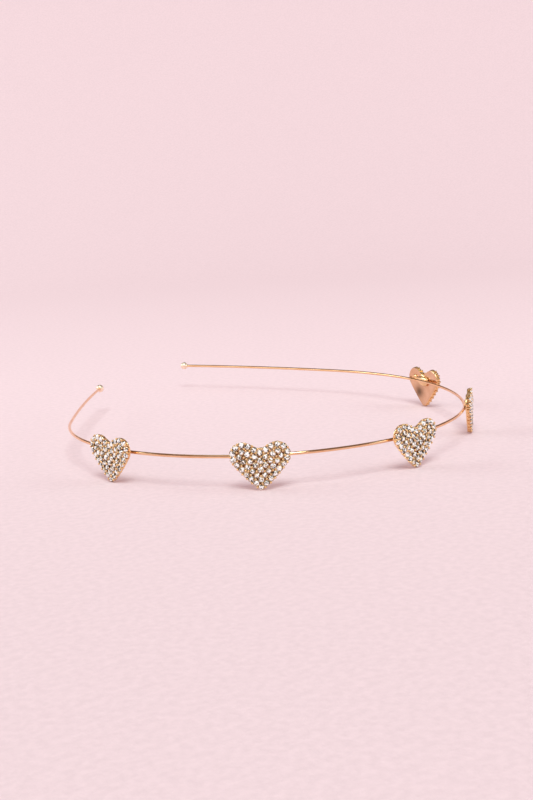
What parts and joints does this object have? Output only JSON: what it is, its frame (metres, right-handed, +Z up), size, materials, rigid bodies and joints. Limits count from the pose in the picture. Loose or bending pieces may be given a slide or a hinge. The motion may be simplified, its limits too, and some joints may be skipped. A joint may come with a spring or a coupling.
{
  "type": "rhinestone heart headband",
  "caption": "Springy gold wire headband with ball tips and heart settings paved with cut clear stones, lying on its heart tips; worn over the head.",
  "frame": {"origin": "under the middle of the part's box, on the surface that the heart tips rest on", "axes": "+Z up with the wire level, -Y towards the crown of the band and +Y towards its open ends, +X to the wearer-view right"},
  "size_m": [0.1282, 0.1592, 0.013],
  "materials": {
    "wire_gold": "polished rose-gold plating on spring wire",
    "ball_gold": "polished gold plating",
    "paved_heart": "polished gold-plated setting with fused stones",
    "crystal": "cut clear glass, foiled behind"
  },
  "bodies": {
    "root": {"band_wire": "wire_gold", "ball_tip_left": "ball_gold", "ball_tip_right": "ball_gold", "heart_left_outer": "paved_heart", "heart_left_inner": "paved_heart", "heart_centre": "paved_heart", "heart_right_inner": "paved_heart", "heart_right_outer": "paved_heart"}
  },
  "joints": []
}
